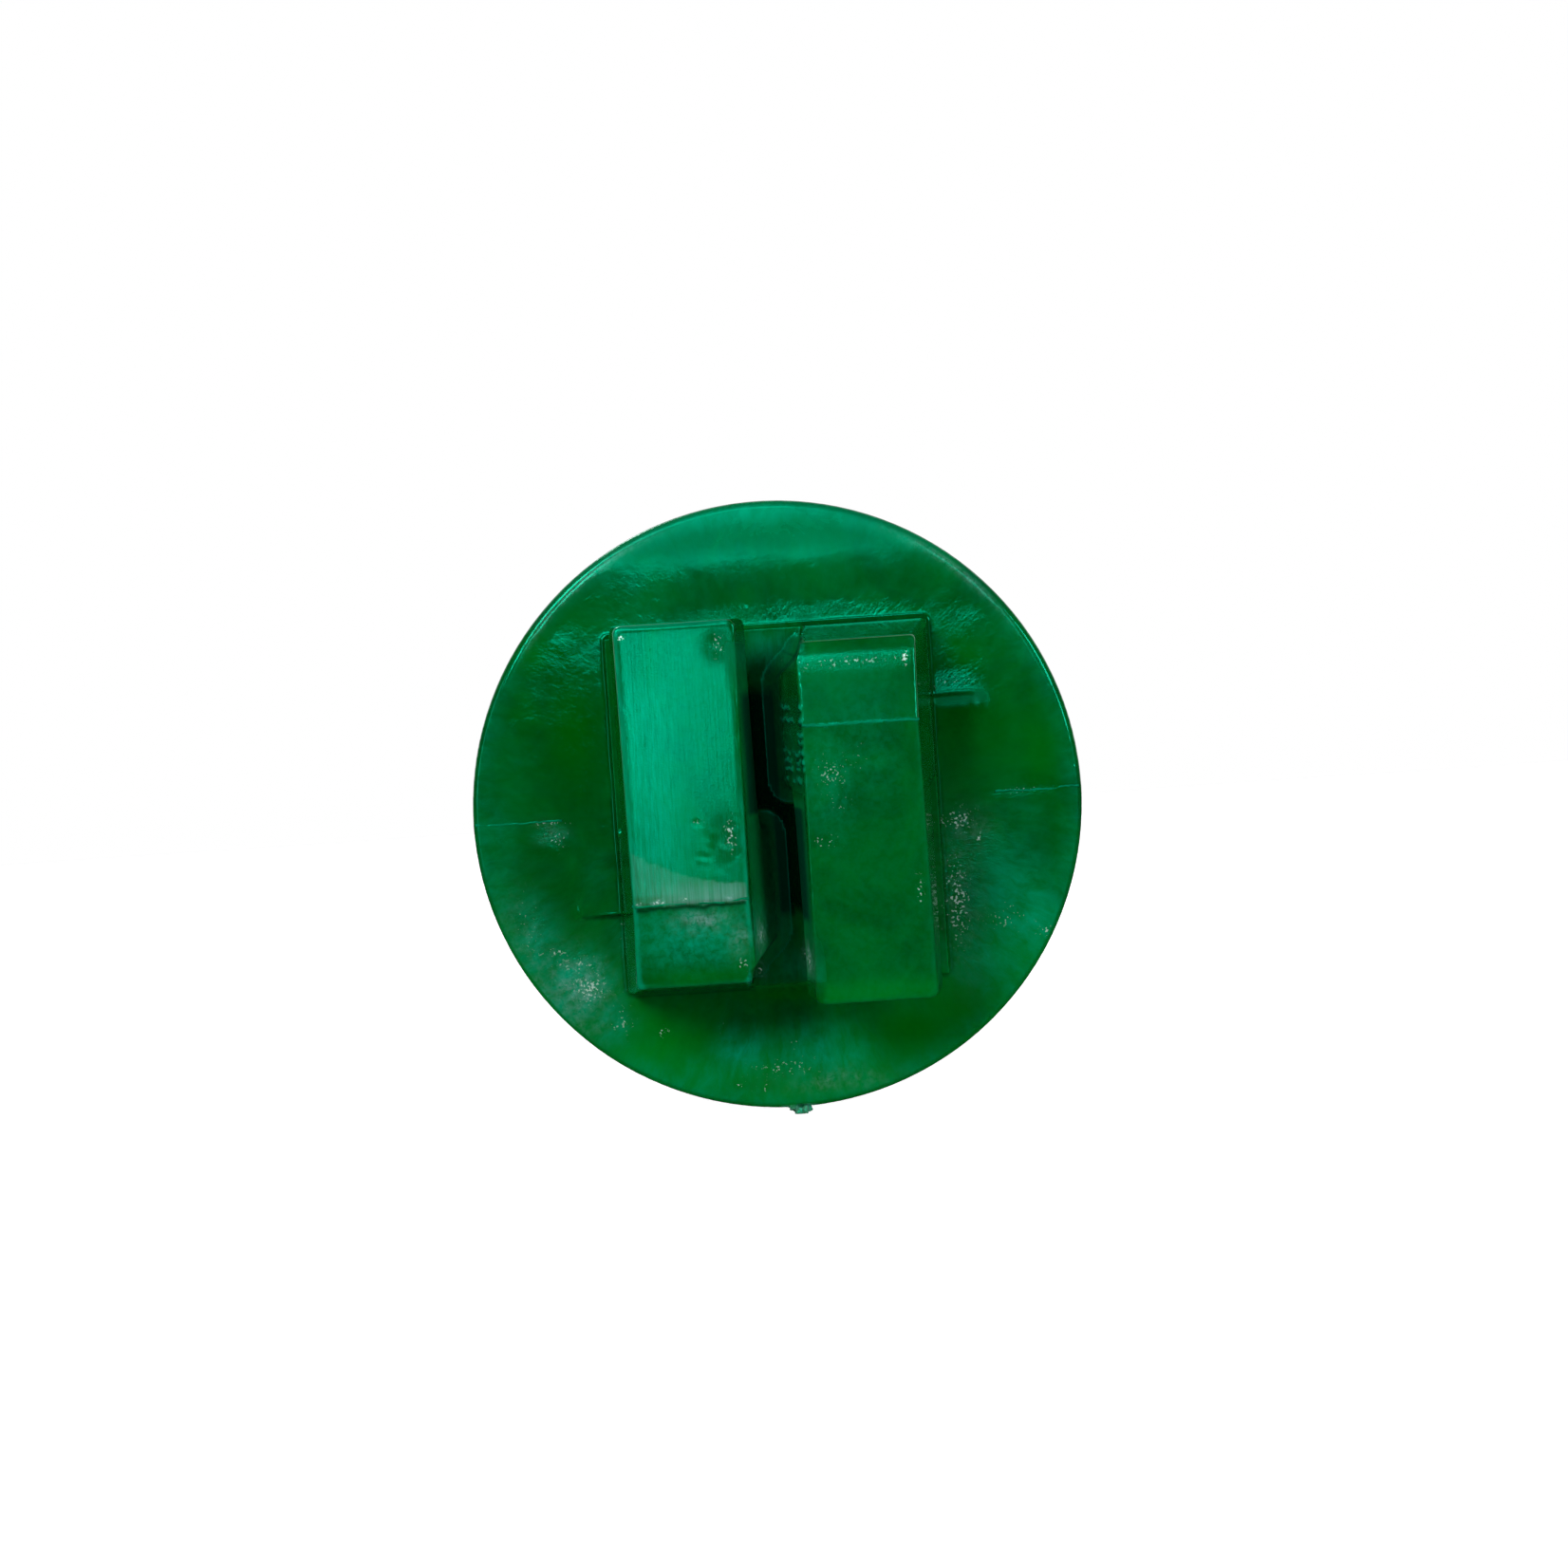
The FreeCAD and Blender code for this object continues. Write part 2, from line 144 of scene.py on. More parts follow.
cameraValues = {
    "azimuth": 0.8624, "elevation": 3.2203, "roll": -3.8760,  # degrees
    "distance": 339.185, "sideways": 0.42392, "upward": 1.15120,  # mm
    "focalPixels": 4729.318, "imagePixels": 1652, "sensor": 36.0,
    "nearest": 0.01, "farthest": 20,  # m
}


def placeCamera(v):
    a, e, r = (math.radians(v[k]) for k in ("azimuth", "elevation", "roll"))
    back = Vector((math.sin(a) * math.cos(e), -math.cos(a) * math.cos(e), math.sin(e)))
    level = Vector((math.cos(a), math.sin(a), 0))
    above = back.cross(level)
    right = level * math.cos(r) + above * math.sin(r)
    up = above * math.cos(r) - level * math.sin(r)
    data = bpy.data.cameras.new("camera")
    data.sensor_width = v["sensor"]
    data.lens = v["focalPixels"] / v["imagePixels"] * v["sensor"]
    data.clip_start = v["nearest"]
    data.clip_end = v["farthest"]
    camera = bpy.data.objects.new("camera", data)
    turn = Matrix((right, up, back)).transposed().to_4x4()
    place = (back * v["distance"] + right * v["sideways"] + up * v["upward"]) * mm
    camera.matrix_world = Matrix.Translation(place) @ turn
    bpy.context.scene.collection.objects.link(camera)
    bpy.context.scene.camera = camera


placeCamera(cameraValues)
print("camera placed")

bodyValues = {
    "weldGap": 2e-7,  # m, points nearer than this are one
    "voxel": 0.16,  # mm, even grid that carries the relief
    "softening": 3,  # rounds of edge smoothing
    "slotRounds": 24,  # rounds that round off the corners deep in the slot
    "bendRounds": 3,  # rounds that spread the measured bend of the surface
    "trianglesKept": 190000,
    "fineFace": -15.0, "fineSlot": (3.0, -9.0),  # mm, y of the faces, x and y of the slot: full detail there
    "facing": (0.75, 0.97), "turnedFront": (0.7, 0.95), "turnedBack": (0.3, 0.8),  # share of a normal
    "turnedEnd": (0.2, 0.5), "turnedSide": (0.5, 0.9), "flat": (0.9992, 0.9999),
    "plinthHalf": (11.85, 13.15), "faceMiddle": 6.4, "partingHeight": 6.13, "stepHeight": 7.1,  # mm
    # zones in mm: over each band of an axis the zone rises from nothing to whole
    "zones": {
        "front": {"-y": (6.4, 7.4)},  # what lies further back isn't seen from the front
        "disc": {"y": (-9.0, -8.45)},
        "face": {"-y": (15.2, 15.9)},
        "faceInner": {"-|z|": (-13.6, -12.7)},
        "leftFace": {"-y": (15.6, 16.2), "-x": (2.4, 2.55)},
        "rightFace": {"-y": (15.6, 16.2), "x": (2.4, 2.55)},
        "hair": {"z": (1.0, 2.0), "-z": (-11.6, -10.6)},
        "streak": {"z": (0.0, 3.0), "-z": (-11.4, -9.4)},
        "greyReflection": {"z": (-6.2, -6.0), "-y": (15.0, 15.2), "-x": (0.0, 0.2)},
        "greyReflectionStrong": {"-z": (3.9, 5.7), "x": (-10.4, -6.5)},
        "faceSheen": {"-y": (15.6, 16.2), "-x": (2.4, 2.7), "z": (-5.6, -5.2)},
        "faceSheenSide": {"-x": (5.5, 9.0), "-z": (-11.5, -7.5)},
        "slot": {"-|x|": (-2.6, -2.4), "-|z|": (-12.8, -12.5)},
        "slotOpening": {"-|x|": (-2.6, -2.4), "y": (-16.8, -16.3)},
        "slotCorners": {"-|x|": (-2.9, -2.5), "y": (-15.6, -14.6), "-y": (7.0, 7.6), "-|z|": (-12.6, -11.8)},
        "slotMatt": {"-|x|": (-2.95, -2.7), "y": (-16.4, -15.8), "-y": (7.0, 8.0), "-|z|": (-12.6, -12.2)},
        "slotDark": {"-|x|": (-2.75, -2.4), "y": (-16.9, -14.5), "-y": (8.5, 8.8)},
        "slotEnds": {"-|x|": (-2.9, -2.7), "y": (-17.0, -16.2), "-y": (8.9, 9.2), "|z|": (8.0, 8.8),
                     "-|z|": (-13.0, -12.7)},
        "upperLight": {"z": (8.2, 9.6)},  # light falls in through the slot's two ends
        "lowerLight": {"-z": (7.7, 8.6)},
        "slotWall": {"x": (0.0, 0.1), "-x": (-3.2, -3.1), "-y": (9.5, 11.0), "z": (0.3, 1.5),
                     "-z": (-11.0, -9.5)},
        "slotWallLow": {"-z": (-8.6, -7.8)},
        "creaseShade": {"-y": (8.0, 8.6)},
        "shutoff": {"x": (12.1, 12.6), "-z": (-8.2, -7.9), "y": (-9.2, -8.9)},
        "shutoffLow": {"-|z|": (-7.3, -7.0)},
        "shutoffSteps": {"-|z|": (-8.2, -7.9), "y": (-9.4, -9.0), "-y": (7.2, 7.5)},
        "shutoffTop": {"x": (12.3, 12.8), "-x": (-16.4, -15.9), "z": (6.4, 6.7), "-z": (-8.0, -7.7),
                       "y": (-9.4, -9.0), "-y": (7.2, 7.5)},
        "upperStep": {"x": (11.5, 12.5), "-x": (-16.4, -15.8), "y": (-9.2, -8.9), "-y": (6.4, 7.4)},
        "glossyAndShaded": {"y": (-9.6, -8.9), "-y": (6.4, 7.4)},
        "rimHighlight": {"y": (-9.0, -8.0)},
        "discTop": {"z": (17.3, 19.8), "-y": (6.4, 7.4)},  # the disc's top turns dull
        "rimTop": {"z": (12.0, 20.0)},
        # painted light: the lower parts are made lighter as if lit from below
        "litFromBelowRing": {"-z": (3.0, 12.0), "y": (-9.4, -8.9), "-y": (6.4, 7.4)},
        "litFromBelowEnd": {"-z": (11.0, 13.4), "x": (2.0, 3.0), "-y": (15.2, 15.9)},
        "nib": {"-z": (22.25, 22.4), "x": (-1.12, -0.92), "-x": (-1.68, -1.48)},  # the gate nib is torn
        "nibTorn": {"-z": (22.25, 22.4), "x": (-0.67, -0.47), "-x": (-1.23, -1.03)},
    },
    "radii": {"edge": (20.6, 22.1), "milkyAndSheen": (19.8, 22.3), "rim": (20.2, 22.2), "thin": (12.0, 19.0)},  # mm
    "slotTurn": (-0.8, 0.8),  # mm, where the slot's lit side changes from one finger to the other
    "rimHighlightRadius": 21.9, "rimHighlightWidth": 0.22,  # mm
    "shutoffMiddle": 15.1, "shutoffReach": (-1.5, -0.9),  # mm, and how far from it the steps' edges lie
    # relief: wavelengths and depths in mm
    "sinkSize": 6.0, "sinkDepth": 0.003,  # broad shrinkage waves of the disc
    "hollowReach": 3.6, "hollowDepth": 0.09,  # the disc sinks a little where the thick plinth stands on it
    "flowSize": 1.7, "flowDepth": 0.002,  # small flow ripples
    "faceSize": 3.2, "faceStretch": (1, 1, 3.5), "faceDepth": 0.0035,  # waviness of the finger faces
    "crownWidth": 4.0, "crown": 0.06,  # each finger face is slightly rounded across
    "ledge": 0.16,  # step across the parting line on the left finger
    "wrinkleHeights": [7.4, 6.5, 5.5, 4.9, 4.2, 3.5, 2.9, 2.1],  # ridges on the right finger's slot wall
    "wrinkleWidth": 0.17, "wrinkleDepth": 0.09, "wrinkleValley": 0.3,
    "nibTorn": 0.16,
    # the places by which the material's streaks run, in mm
    "flowHub": 3, "flowRing": 12, "flowAlong": 0.3,  # least radius, stretch round the middle and outwards
    "raisedFrom": -9.6,  # y of all that stands in front of the disc
    "scratched": (-2.0, -15.5, -6.3), "scratchedStretch": (3.2, 1, 0.3),  # left face over its seam
    # roughness of the surface
    "discRough": 0.075, "topRough": 0.27, "faceRough": 0.16, "glossRough": 0.05, "mattRough": 0.9,
    "stepRough": 0.55,
    "arcMiddle": (-19.6, -10.2), "arcRadii": (8.3, 8.9, 9.6),  # mm, fine bright arcs at the lower left
    "creases": [((2.9, 13.0), (2.1, 10.9)), ((2.1, 10.9), (0.1, 11.9))],  # mm, x and z at both ends
    # places on the front, in mm: x, z, half width, half height, strength
    "dents": [
        (-3.9, -2.0, 0.9, 1.3, 0.035), (-5.0, -3.0, 0.8, 0.5, 0.02), (-3.1, -0.9, 0.35, 0.7, 0.035),
        (-3.6, 12.2, 0.5, 0.6, 0.03), (-5.7, -0.3, 0.3, 0.2, 0.02),
    ],
    "grainy": [
        (-15.4, -12.0, 3.0, 3.0, 0.7), (-18.6, -8.5, 2.0, 4.0, 0.4), (13.2, -7.5, 1.6, 5.5, 0.8),
        (15.5, -4.0, 3.0, 2.5, 0.4), (1.5, -19.3, 5.5, 1.8, 0.45), (-9.0, -17.0, 3.0, 2.0, 0.3),
        (14.5, -12.0, 3.0, 2.5, 0.4), (-16.8, -1.2, 1.2, 0.9, 0.8), (-6.5, -9.0, 3.6, 2.0, 0.5),
        (-3.7, -1.6, 0.9, 1.6, 0.8), (-3.4, 12.3, 1.0, 1.2, 0.5), (6.4, 10.5, 5.2, 0.6, 0.35),
        (-10.5, 16.0, 4.5, 2.2, 0.1), (0.5, 14.3, 11.0, 0.8, 0.25), (13.3, 8.4, 1.8, 0.8, 0.3),
        (4.6, 3.0, 1.8, 1.8, 0.35), (4.4, -2.4, 1.6, 0.8, 0.3), (10.0, -6.6, 0.4, 1.2, 0.6),
        (18.5, -0.2, 3.0, 0.4, 0.5),
    ],
    "glint": [
        (-14.7, -12.6, 1.5, 1.2, 0.75), (-15.7, -10.8, 1.6, 0.7, 0.6), (-17.2, -9.7, 1.1, 0.25, 0.85),
        (-11.9, -9.9, 0.25, 2.4, 0.55), (-19.0, -8.0, 0.9, 2.6, 0.3), (-9.7, -16.2, 0.5, 0.3, 0.75),
        (-5.1, -16.2, 0.3, 0.3, 0.5), (13.3, -1.9, 1.3, 0.9, 0.65), (14.7, -3.3, 0.3, 0.25, 1.0),
        (12.8, -8.0, 1.0, 3.4, 0.62), (16.4, -9.3, 1.6, 0.9, 0.4), (19.1, -10.5, 0.6, 0.5, 0.6),
        (18.0, 0.0, 1.3, 0.16, 0.85), (-0.8, -19.5, 2.4, 0.7, 0.42), (0.4, -17.7, 0.5, 0.4, 0.5),
        (-4.2, -20.4, 0.4, 0.14, 1.2), (-2.4, -20.8, 0.35, 0.16, 0.9), (-16.9, -0.2, 1.2, 0.18, 0.9),
        (-16.4, -1.3, 0.8, 0.6, 0.6), (-3.3, -1.3, 0.5, 1.2, 0.8), (-3.3, 12.3, 0.5, 1.0, 0.6),
        (-10.3, 13.3, 0.28, 0.22, 1.3), (10.05, 10.5, 0.22, 0.5, 1.3), (6.4, 10.6, 4.4, 0.4, 0.45),
        (-10.2, -12.9, 0.9, 0.18, 0.8), (-3.0, -10.8, 0.4, 0.5, 0.7), (-5.6, -0.2, 0.3, 0.2, 0.7),
        (4.2, 2.6, 1.0, 1.3, 0.5), (6.0, 3.6, 1.0, 1.0, 0.35), (3.4, -2.3, 0.9, 0.6, 0.5),
        (4.6, 0.4, 0.8, 0.8, 0.35), (10.0, -6.4, 0.3, 1.2, 0.6), (13.2, 8.3, 1.4, 0.4, 0.4),
        (1.68, -10.9, 0.16, 0.9, 0.9), (-1.7, -8.9, 0.2, 0.9, 0.8), (-2.0, -12.0, 0.16, 0.5, 0.8),
    ],
    "milkyAndSheen": [  # partly whitened by stretching or thin flow, partly painted sheen and painted light
        (-1.0, 21.8, 9.0, 1.1, 0.7), (-10.5, 17.5, 3.0, 1.8, 0.25), (-18.8, 4.0, 1.6, 6.0, 0.12),
        (-20.5, -1.0, 1.5, 3.0, 0.3), (-16.5, -1.2, 2.0, 0.8, 0.35), (-18.6, -9.0, 2.0, 3.2, 0.8),
        (-20.5, -5.5, 1.4, 3.5, 0.35), (-16.0, -12.4, 3.2, 2.8, 1.1), (-13.4, -15.4, 1.6, 2.0, 0.8),
        (-12.0, -10.0, 1.5, 3.0, 0.3), (-13.5, -4.0, 1.6, 2.6, 0.2), (-6.5, -19.5, 2.2, 1.5, 0.4),
        (2.2, -18.6, 4.6, 2.4, 0.7), (-0.5, -21.6, 3.0, 0.8, 0.2), (-3.8, -18.0, 2.2, 1.8, 0.8),
        (16.8, -8.2, 3.0, 5.0, 0.65), (18.5, -9.5, 2.2, 2.8, 0.75), (14.5, -1.8, 1.6, 1.2, 0.25),
        (18.0, -2.0, 3.0, 3.0, 0.24), (14.6, -12.5, 3.2, 2.8, 0.55), (13.2, 8.2, 1.8, 0.8, 0.12),
        (4.0, 2.0, 2.4, 4.8, 0.33), (7.0, 4.0, 3.2, 5.5, 0.22), (6.4, 8.3, 5.2, 1.6, 0.12),
        (6.4, 12.8, 5.2, 0.6, 0.3), (0.5, 14.3, 11.0, 0.8, 0.16), (-6.2, -8.4, 5.0, 2.4, 0.85),
        (-5.6, -9.7, 4.4, 1.2, 0.6), (0.0, 11.6, 2.4, 1.6, 0.5), (0.3, -11.8, 2.2, 1.6, 0.35),
    ],
    "glossyAndShaded": [  # glossier, and darkened with painted shade beside and under the fingers
        (-14.0, 6.5, 2.8, 7.5, 1.0), (13.8, 6.4, 3.2, 7.0, 1.0), (-9.4, -15.4, 4.0, 1.7, 0.7),
        (8.0, -17.0, 4.6, 2.0, 0.3), (19.0, 3.5, 2.0, 4.0, 0.8), (16.5, 4.5, 2.5, 3.5, 0.8),
        (-15.5, -4.6, 1.2, 1.6, 0.5), (-15.6, 12.0, 3.2, 3.0, 1.0), (11.8, -15.5, 2.8, 2.0, 0.6),
        (-16.2, -6.8, 1.0, 1.0, 0.5),
    ],
    "clear": [  # thin and saturated, without milk
        (8.5, -17.2, 4.2, 1.8, 1.0), (12.5, -15.5, 2.6, 2.0, 0.8), (-0.5, -13.9, 3.4, 0.8, 1.0),
        (-8.0, -16.8, 2.6, 1.3, 0.7), (16.5, 4.5, 3.0, 4.0, 0.7), (19.5, 3.0, 2.0, 5.0, 0.8),
        (-14.6, 7.0, 3.4, 8.0, 1.0), (13.8, 7.0, 3.2, 7.0, 0.5), (-15.6, 12.0, 3.2, 3.0, 0.8),
        (-17.0, 12.2, 2.4, 2.4, 1.0), (14.4, 10.4, 2.8, 2.4, 0.8), (-17.8, 8.0, 2.2, 3.0, 0.8),
        (13.5, -18.0, 3.0, 2.0, 0.6), (-13.6, -17.6, 2.0, 2.0, 0.6), (-6.4, -11.4, 4.4, 0.75, 0.5),
    ],
    "filmAndReflection": [  # pale grey: partly a rubbed film, partly painted grey reflection
        (-17.2, -12.5, 3.2, 3.4, 0.3), (-15.5, -12.4, 1.9, 1.8, 1.0), (-17.0, -14.0, 2.8, 2.4, 0.5),
        (-19.5, -9.0, 1.8, 3.5, 0.2), (-5.8, -7.3, 1.6, 0.7, 1.0), (-3.2, -8.6, 0.7, 1.4, 0.4),
        (13.2, -7.5, 1.4, 5.0, 0.2), (14.2, -2.6, 1.4, 1.2, 0.3), (-1.7, -8.9, 0.3, 1.0, 0.9),
        (-2.0, -12.0, 0.3, 0.6, 0.9), (1.68, -10.9, 0.3, 1.0, 1.0), (-16.9, -0.8, 1.0, 0.6, 0.4),
        (3.0, -20.6, 3.5, 0.8, 0.25),
    ],
    "rimHighlight": [(-12.5, 18.0, 4.5, 3.0, 1.0), (-16.4, 14.5, 2.0, 2.0, 0.6), (14.0, 16.8, 4.0, 4.0, 0.7)],
    "arcs": [(-12.4, -14.9, 0.9, 1.4, 0.9)],
    # places made lighter with painted light from below
    "litFromBelowPlaces": [(-6.4, -11.5, 4.6, 0.9, 0.7)],
}


def evenMesh(node, v):
    # merged copy of the node, rebuilt on an even grid so that it can carry fine relief
    mesh = node.data.copy()
    source = bpy.data.objects.new("mouldedBody", mesh)
    bpy.context.scene.collection.objects.link(source)
    weld = source.modifiers.new("weld", "WELD")
    weld.merge_threshold = v["weldGap"]
    remesh = source.modifiers.new("grid", "REMESH")
    remesh.mode = "VOXEL"
    remesh.voxel_size = v["voxel"] * mm
    soften = source.modifiers.new("soften", "SMOOTH")
    soften.iterations = v["softening"]
    depsgraph = bpy.context.evaluated_depsgraph_get()
    made = bpy.data.meshes.new_from_object(source.evaluated_get(depsgraph))
    source.modifiers.clear()
    source.data = made
    bpy.data.meshes.remove(mesh)
    return source


def readMesh(mesh):  # positions in mm, unit normals and edges
    points = np.empty(len(mesh.vertices) * 3, np.float32)
    mesh.vertices.foreach_get("co", points)
    normals = np.empty(len(mesh.vertices) * 3, np.float32)
    mesh.vertex_normals.foreach_get("vector", normals)
    edges = np.empty(len(mesh.edges) * 2, np.int32)
    mesh.edges.foreach_get("vertices", edges)
    points = points.reshape(-1, 3).astype(float) / mm
    return points, normals.reshape(-1, 3).astype(float), edges.reshape(-1, 2)


def writePoints(mesh, points):
    mesh.vertices.foreach_set("co", (points * mm).astype(np.float32).ravel())
    mesh.update()


def nearMean(values, edges):  # mean of each point's neighbours
    a, b = edges.T
    count = np.bincount(a, minlength=len(values)) + np.bincount(b, minlength=len(values))
    columns = values.reshape(len(values), -1)
    total = [np.bincount(a, c[b], len(values)) + np.bincount(b, c[a], len(values)) for c in columns.T]
    return (np.stack(total, 1) / count[:, None]).reshape(values.shape)


def setAttribute(mesh, name, values):
    attribute = mesh.attributes.new(name, "FLOAT", "POINT")
    attribute.data.foreach_set("value", np.clip(values, 0, 1).astype(np.float32))


def roundSlot(points, edges, v):
    # the corners deep in the slot and the edges of the two shut-off steps are rounded off
    zones = v["zones"]
    inside = zone(points, zones["slotCorners"])
    fromStep = np.abs(np.abs(points[:, 0]) - v["shutoffMiddle"])
    steps = ease(-fromStep, *v["shutoffReach"]) * (0.15 + 0.85 * zone(points, zones["shutoffLow"]))
    steps = steps * zone(points, zones["shutoffSteps"])
    inside = np.maximum.reduce([inside, steps, 0.4 * zone(points, zones["shutoffTop"])])[:, None]
    for _ in range(v["slotRounds"]):
        points = points + 0.5 * inside * (nearMean(points, edges) - points)
    return points


def onFace(points, normals, v):  # 1 on both finger faces
    return ease(-normals[:, 1], *v["facing"]) * zone(points, v["zones"]["face"])


def onSlotWall(points, normals, v):  # 1 on the slot wall of the right finger's root
    return ease(-normals[:, 0], *v["turnedSide"]) * zone(points, v["zones"]["slotWall"])


def wrinkles(points, normals, v):  # ridges across the slot wall, bent and fading along their length
    bent = points[:, 2] + 0.07 * ripple(points, 1.6, 39)
    fade = ease(ripple(points, 2.2, 40), -1.4, 0.4)
    rows = [bell(bent - height, v["wrinkleWidth"]) for height in v["wrinkleHeights"]]
    return sum(rows) * fade * onSlotWall(points, normals, v)


def relief(points, normals, v):
    # how far each point moves along its normal: sinks, flow ripples and dents, each a sum of waves
    # of ripple() times a mask of where it lies
    x, y, z = points.T
    zones = v["zones"]
    onDisc = ease(-normals[:, 1], *v["facing"]) * zone(points, zones["disc"])
    onDisc = onDisc * (1 - ease(np.hypot(x, z), *v["radii"]["edge"]))
    face = onFace(points, normals, v)
    beyond = np.hypot((np.abs(x) - v["plinthHalf"][0]).clip(0), (np.abs(z) - v["plinthHalf"][1]).clip(0))
    across = np.abs(np.abs(x) - v["faceMiddle"])
    inner = ease(v["crownWidth"] - across, 0, 0.8) * zone(points, zones["faceInner"])
    grainy = patch(x, z, v["grainy"])
    move = onDisc * v["sinkDepth"] * ripple(points, v["sinkSize"], 3)
    move -= onDisc * v["hollowDepth"] * bell(beyond, v["hollowReach"])
    move += onDisc * v["flowDepth"] * ripple(points, v["flowSize"], 5) * (0.5 + 1.5 * grainy)
    move += face * inner * v["faceDepth"] * (ripple(points, v["faceSize"], 8, v["faceStretch"]) - 2)
    move -= face * v["crown"] * (across / v["crownWidth"]).clip(0, 1) ** 2
    move += face * patch(x, z, v["dents"]) * (0.7 * ripple(points, 0.9, 31) - 1)
    along = points * (1, 0, 0)
    wander = 0.06 * ripple(along, 2.5, 33) + 0.03 * ripple(along, 0.8, 34)
    move -= face * (x < 0) * v["ledge"] * ease(-z - v["partingHeight"] + wander, -0.04, 0.12)
    move += v["wrinkleDepth"] * wrinkles(points, normals, v)
    move += v["nibTorn"] * zone(points, zones["nibTorn"]) * (ripple(points, 0.7, 36) - 0.4)
    return move, np.maximum(grainy * np.maximum(onDisc, face), 0.06 * onDisc)


def faceMarks(points, facing, v):
    # marks of the finger faces, each a formula in mm: torn seam with painted shadow below it, its lip, ridge,
    # scratch and a painted grey reflection, whose upper edge is a shallow parabola
    x, y, z = points.T
    zones = v["zones"]
    onLeft = zone(points, zones["leftFace"]) * facing
    onRight = zone(points, zones["rightFace"]) * facing
    along = points * (1, 0, 0)
    wander = 0.07 * ripple(along, 2.2, 33) + 0.05 * ripple(along, 0.6, 34)
    fromSeam = z + v["partingHeight"]
    torn = ease(ripple(points, 0.9, 46), -0.8, 0.6)
    broken = ease(ripple(points, 0.9, 47), -1.2, 0.2)
    fromSide = x + 9.36
    curve = -2.86 - 0.524 * fromSide + 0.0345 * fromSide ** 2 + 0.05 * ripple(points, 0.6, 43)
    # painted grey reflection on the left face, below a shallow parabola
    below = ease(curve - z, -0.06, 0.1) * zone(points, zones["greyReflection"])
    return {
        "seam": onLeft * bell(fromSeam + 0.2 + wander, 0.24),
        "lip": onLeft * bell(fromSeam - 0.26 + 1.4 * wander, 0.16) * torn,
        "ridge": onRight * bell(z - v["partingHeight"] + 0.5 * wander, 0.1) * broken,
        "hair": onLeft * bell(x + 8.9 - 0.012 * z, 0.09) * zone(points, zones["hair"]),
        "streak": 0.4 * onLeft * bell(x + 9.05 - 0.012 * z, 0.11) * zone(points, zones["streak"]),
        "greyReflection": below * facing * (0.2 + 0.55 * zone(points, zones["greyReflectionStrong"])),
    }


def slotMarks(points, normals, v):
    # marks of the slot: painted shade deep in it and along creases, painted light on the wall's ridges,
    # painted shade in its valleys
    x, y, z = points.T
    zones = v["zones"]
    rootSide = x * (2 * ease(z, *v["slotTurn"]) - 1)  # over 0 on the side where light reaches the slot
    lit = np.maximum(zone(points, zones["upperLight"]), 0.8 * zone(points, zones["lowerLight"]))
    # painted shade: the slot is darkened except where light reaches it
    deep = zone(points, zones["slotDark"]) * (1 - lit) * (1 - 0.95 * ease(rootSide, 0.1, 0.6))
    turned = ease(np.where(z > 0, 1, -1) * normals[:, 2], *v["turnedEnd"]) * zone(points, zones["slotEnds"])
    creaseShade = np.minimum(*[toLine(x, z, start, end) for start, end in v["creases"]])
    creaseShade = bell(creaseShade + 0.03 * ripple(points, 0.7, 48), 0.13)
    folds = wrinkles(points, normals, v)
    shifted = wrinkles(points + (0, 0, v["wrinkleValley"]), normals, v)
    wall = onSlotWall(points, normals, v)
    flat = ease(-normals[:, 1], *v["flat"])
    return {
        "inside": zone(points, zones["slot"]),
        "deep": np.maximum(deep, 0.75 * turned),
        "creaseShade": 0.8 * creaseShade * zone(points, zones["creaseShade"]),
        "folds": folds,
        "ridges": 0.2 * wall * zone(points, zones["slotWallLow"]) + folds,
        "valleyShade": shifted * (1 - folds.clip(0, 1)),
        "matt": zone(points, zones["slotMatt"]) * ease(1 - flat, 0, 0.3) * (1 - wall),
        "flat": flat,
    }


def roughness(points, glossy, onFaces, mattSlot, v):  # dull disc top, faces, glossy places, slot corners
    zones = v["zones"]
    rough = v["discRough"] + (v["topRough"] - v["discRough"]) * zone(points, zones["discTop"])
    for mask, name in ((onFaces, "faceRough"), (glossy, "glossRough"), (mattSlot, "mattRough")):
        rough += mask * (v[name] - rough)
    step = bell(points[:, 2] - v["stepHeight"], 0.6) * zone(points, zones["upperStep"])
    return np.maximum(rough, v["stepRough"] * step)  # the step's edges show no mirror line


